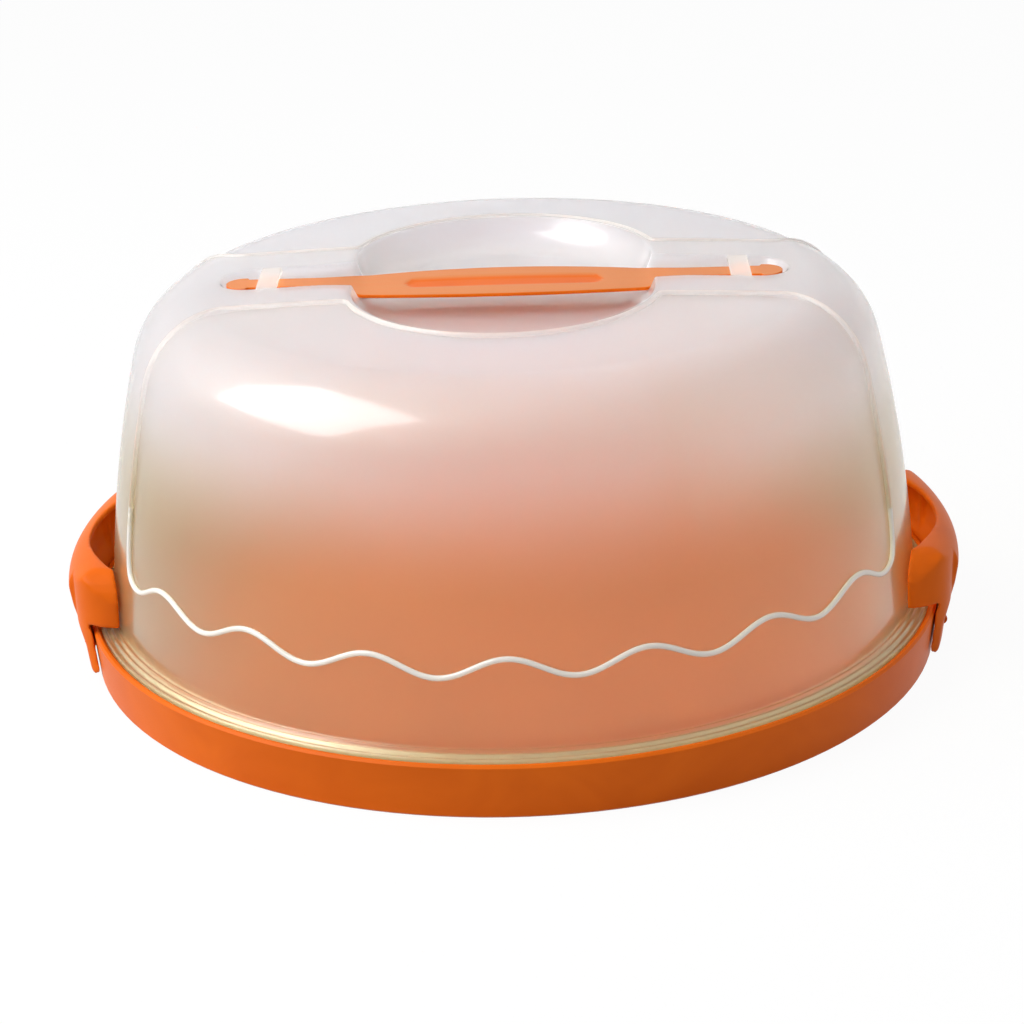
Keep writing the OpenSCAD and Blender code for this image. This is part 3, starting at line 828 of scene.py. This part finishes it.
def strapSection(x):
    # one closed outline across the strap, anticlockwise seen from its end
    half = max(strapHalfWidth(x), 0.05)
    thick, soft = strap["thick"], min(strap["soft"], half * 0.6)
    drop = float(strapDrop(x))
    along = abs(x) - (strap["dimpleHalf"] - strap["dimpleWidth"])
    outline = []
    count, countBelow = 22, 6
    for i in range(count + 1):          # over the top, from +y to -y
        y = (half - soft) * math.cos(math.pi * i / count)
        away = math.hypot(max(along, 0.0), y) - strap["dimpleWidth"]
        dip = strap["dimpleDepth"] * (1 - float(softer(np.array(away), *strap["dimpleWall"])))
        outline.append((y, thick - dip))
    corner = [(math.cos(math.radians(a)), math.sin(math.radians(a))) for a in (60, 30, 0, -30, -60)]
    outline += [(-(half - soft) - soft * c, thick - soft + soft * s) for c, s in corner[:3]]
    outline += [(-(half - soft) - soft * c, soft + soft * s) for c, s in corner[2:]]
    for i in range(countBelow + 1):     # and back below
        outline.append((-(half - soft) * math.cos(math.pi * i / countBelow), 0.0))
    outline += [((half - soft) + soft * c, soft + soft * s) for c, s in corner[:1:-1]]
    outline += [((half - soft) + soft * c, thick - soft + soft * s) for c, s in corner[2::-1]]
    return [(x, y, strap["low"] + z - drop) for y, z in outline]


def strapDrop(x):
    # how far the grip hangs below the arms
    sag = strap["sag"] + strap["sagAtEnds"] * (x / strap["gripEnd"]) ** 2
    return sag * (1 - softer(x, *strap["sagGone"]))


def paintedSheenTop(co):
    # where the painted sheen goes: 1 on the flat top, 0 in the dimple, on the edges and below
    x = np.abs(co[:, 0])
    height = co[:, 2] - strap["low"] + strapDrop(x)
    start, full = strap["paintedSheenFrom"]
    return softer(height, strap["thick"] - start, strap["thick"] - full).astype(np.float32)


def makeStrapHalf(name, side):
    barbAt, nose = strap["barbAt"], strap["barbAt"] + strap["barbFlat"]
    xs = list(np.arange(0.0, barbAt - 0.5, strap["step"]))
    xs += [barbAt - 0.05, barbAt + 0.15, barbAt + 0.4, barbAt + 0.65, nose]
    xs += [nose + (strap["end"] - nose) * math.sin(math.radians(a)) for a in range(8, 89, 8)]
    xs.append(strap["end"])
    bm = bmesh.new()
    rings = [[bm.verts.new(p) for p in strapSection(x)] for x in xs]
    for before, after in zip(rings, rings[1:]):
        count = len(before)
        for k in range(count):
            bm.faces.new((before[k], before[(k + 1) % count], after[(k + 1) % count], after[k]))
    bm.faces.new(rings[-1])
    bmesh.ops.remove_doubles(bm, verts=bm.verts[:], dist=0.01)
    if side < 0:
        bmesh.ops.scale(bm, verts=bm.verts[:], vec=(-1, 1, 1))
    bmesh.ops.recalc_face_normals(bm, faces=bm.faces[:])
    co = np.array([v.co for v in bm.verts])
    bmesh.ops.scale(bm, verts=bm.verts[:], vec=(0.001, 0.001, 0.001))
    made = finishMesh(name, bm)
    paintedSheen = made.data.attributes.new("paintedSheen", "FLOAT", "POINT")
    paintedSheen.data.foreach_set("value", paintedSheenTop(co))
    return made


for name, side, ending in (("strapLeft", -1, "left"), ("strapRight", 1, "right")):
    made = makeStrapHalf(name, side)
    dress(made, orangeStrap)
    nodes = [f"handle_arm_{ending}", f"handle_tip_{ending}"]
    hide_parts(*nodes, *(["handle_grip"] if side > 0 else []))
    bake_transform(made)
print("strap made")


latch = {
    "voxel": 0.0006,        # metres
    "smooth": 22,           # passes that round the edges off
}


def softened(name, node, setup):
    # a latch as moulded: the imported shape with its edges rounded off
    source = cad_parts[node]
    bm = bmesh.new()
    bm.from_mesh(source.data)
    bmesh.ops.remove_doubles(bm, verts=bm.verts[:], dist=1e-6)
    mesh = bpy.data.meshes.new(name)
    bm.to_mesh(mesh)
    bm.free()
    rough = bpy.data.objects.new(name + "Rough", mesh)
    scene.collection.objects.link(rough)
    remesh = rough.modifiers.new("remesh", "REMESH")
    remesh.mode = "VOXEL"
    remesh.voxel_size = setup["voxel"]
    smooth = rough.modifiers.new("smooth", "SMOOTH")
    smooth.factor = 0.5
    smooth.iterations = setup["smooth"]
    bpy.context.view_layer.update()
    graph = bpy.context.evaluated_depsgraph_get()
    final = bpy.data.meshes.new_from_object(rough.evaluated_get(graph))
    bpy.data.objects.remove(rough)
    made = bpy.data.objects.new(name, final)
    scene.collection.objects.link(made)
    for polygon in final.polygons:
        polygon.use_smooth = True
    return made


latches = (("latchLeft", "latch_left", "left_latch"), ("latchRight", "latch_right", "right_latch"))
for name, node, body in latches:
    made = softened(name, node, latch)
    dress(made, orangeLatch)
    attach(made, body)
    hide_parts(node)
print("latches made")


studio = {
    "sky": 0.40,            # level of the room's light on the object
    "floorColour": (0.55, 0.55, 0.55),
    "floorWhite": 0.90,     # how much of the floor is seen as plain white
    "floorGlow": 1.05,      # level of that white
    "keySpot": (-0.92, -0.24, 1.02),
    "keySize": (1.10, 1.00),
    "keyPower": 19.0,
    "fillSpot": (1.15, -0.30, 0.55),
    "fillSize": (1.30, 1.10),
    "fillPower": 1.6,
    "lampsAim": (0.0, -0.05, 0.1),
    "floorHalf": 4.0,
}


def seenDirectly(tree):
    # 1 for what the camera sees itself, in a gloss or through the lid
    ray = tree.nodes.new("ShaderNodeLightPath")
    seen = addMath(tree, "MAXIMUM", ray.outputs["Is Camera Ray"], ray.outputs["Is Glossy Ray"])
    return addMath(tree, "MAXIMUM", seen, ray.outputs["Is Transmission Ray"])


def addStudio(setup):
    world = bpy.data.worlds.new("studio")
    scene.world = world
    world.use_nodes = True
    tree = world.node_tree
    background = tree.nodes["Background"]
    background.inputs["Color"].default_value = (1.0, 1.0, 1.0, 1.0)
    level = tree.nodes.new("ShaderNodeMapRange")
    tree.links.new(seenDirectly(tree), level.inputs["Value"])
    level.inputs["To Min"].default_value = setup["sky"]
    level.inputs["To Max"].default_value = 1.0
    tree.links.new(level.outputs["Result"], background.inputs["Strength"])

    mesh = bpy.data.meshes.new("floor")
    half = setup["floorHalf"]
    corners = [(-half, -half, 0), (half, -half, 0), (half, half, 0), (-half, half, 0)]
    mesh.from_pydata(corners, [], [(0, 1, 2, 3)])
    floor = bpy.data.objects.new("floor", mesh)
    scene.collection.objects.link(floor)
    material = bpy.data.materials.new("floorPaper")
    material.use_nodes = True
    tree = material.node_tree
    shader = tree.nodes["Principled BSDF"]
    shader.inputs["Base Color"].default_value = (*setup["floorColour"], 1.0)
    shader.inputs["Roughness"].default_value = 0.9
    shader.inputs["Specular IOR Level"].default_value = 0.0
    white = tree.nodes.new("ShaderNodeEmission")
    white.inputs["Strength"].default_value = setup["floorGlow"]
    mix = tree.nodes.new("ShaderNodeMixShader")
    tree.links.new(addMath(tree, "MULTIPLY", seenDirectly(tree), setup["floorWhite"]), mix.inputs["Fac"])
    tree.links.new(shader.outputs["BSDF"], mix.inputs[1])
    tree.links.new(white.outputs["Emission"], mix.inputs[2])
    tree.links.new(mix.outputs["Shader"], tree.nodes["Material Output"].inputs["Surface"])
    dress(floor, material)

    for name in ("key", "fill"):
        data = bpy.data.lights.new(name, "AREA")
        data.shape = "RECTANGLE"
        data.size, data.size_y = setup[name + "Size"]
        data.energy = setup[name + "Power"]
        lamp = bpy.data.objects.new(name, data)
        scene.collection.objects.link(lamp)
        lamp.location = setup[name + "Spot"]
        aim = Vector(setup["lampsAim"]) - lamp.location
        lamp.rotation_euler = aim.to_track_quat("-Z", "Y").to_euler()


addStudio(studio)
print("studio lit")
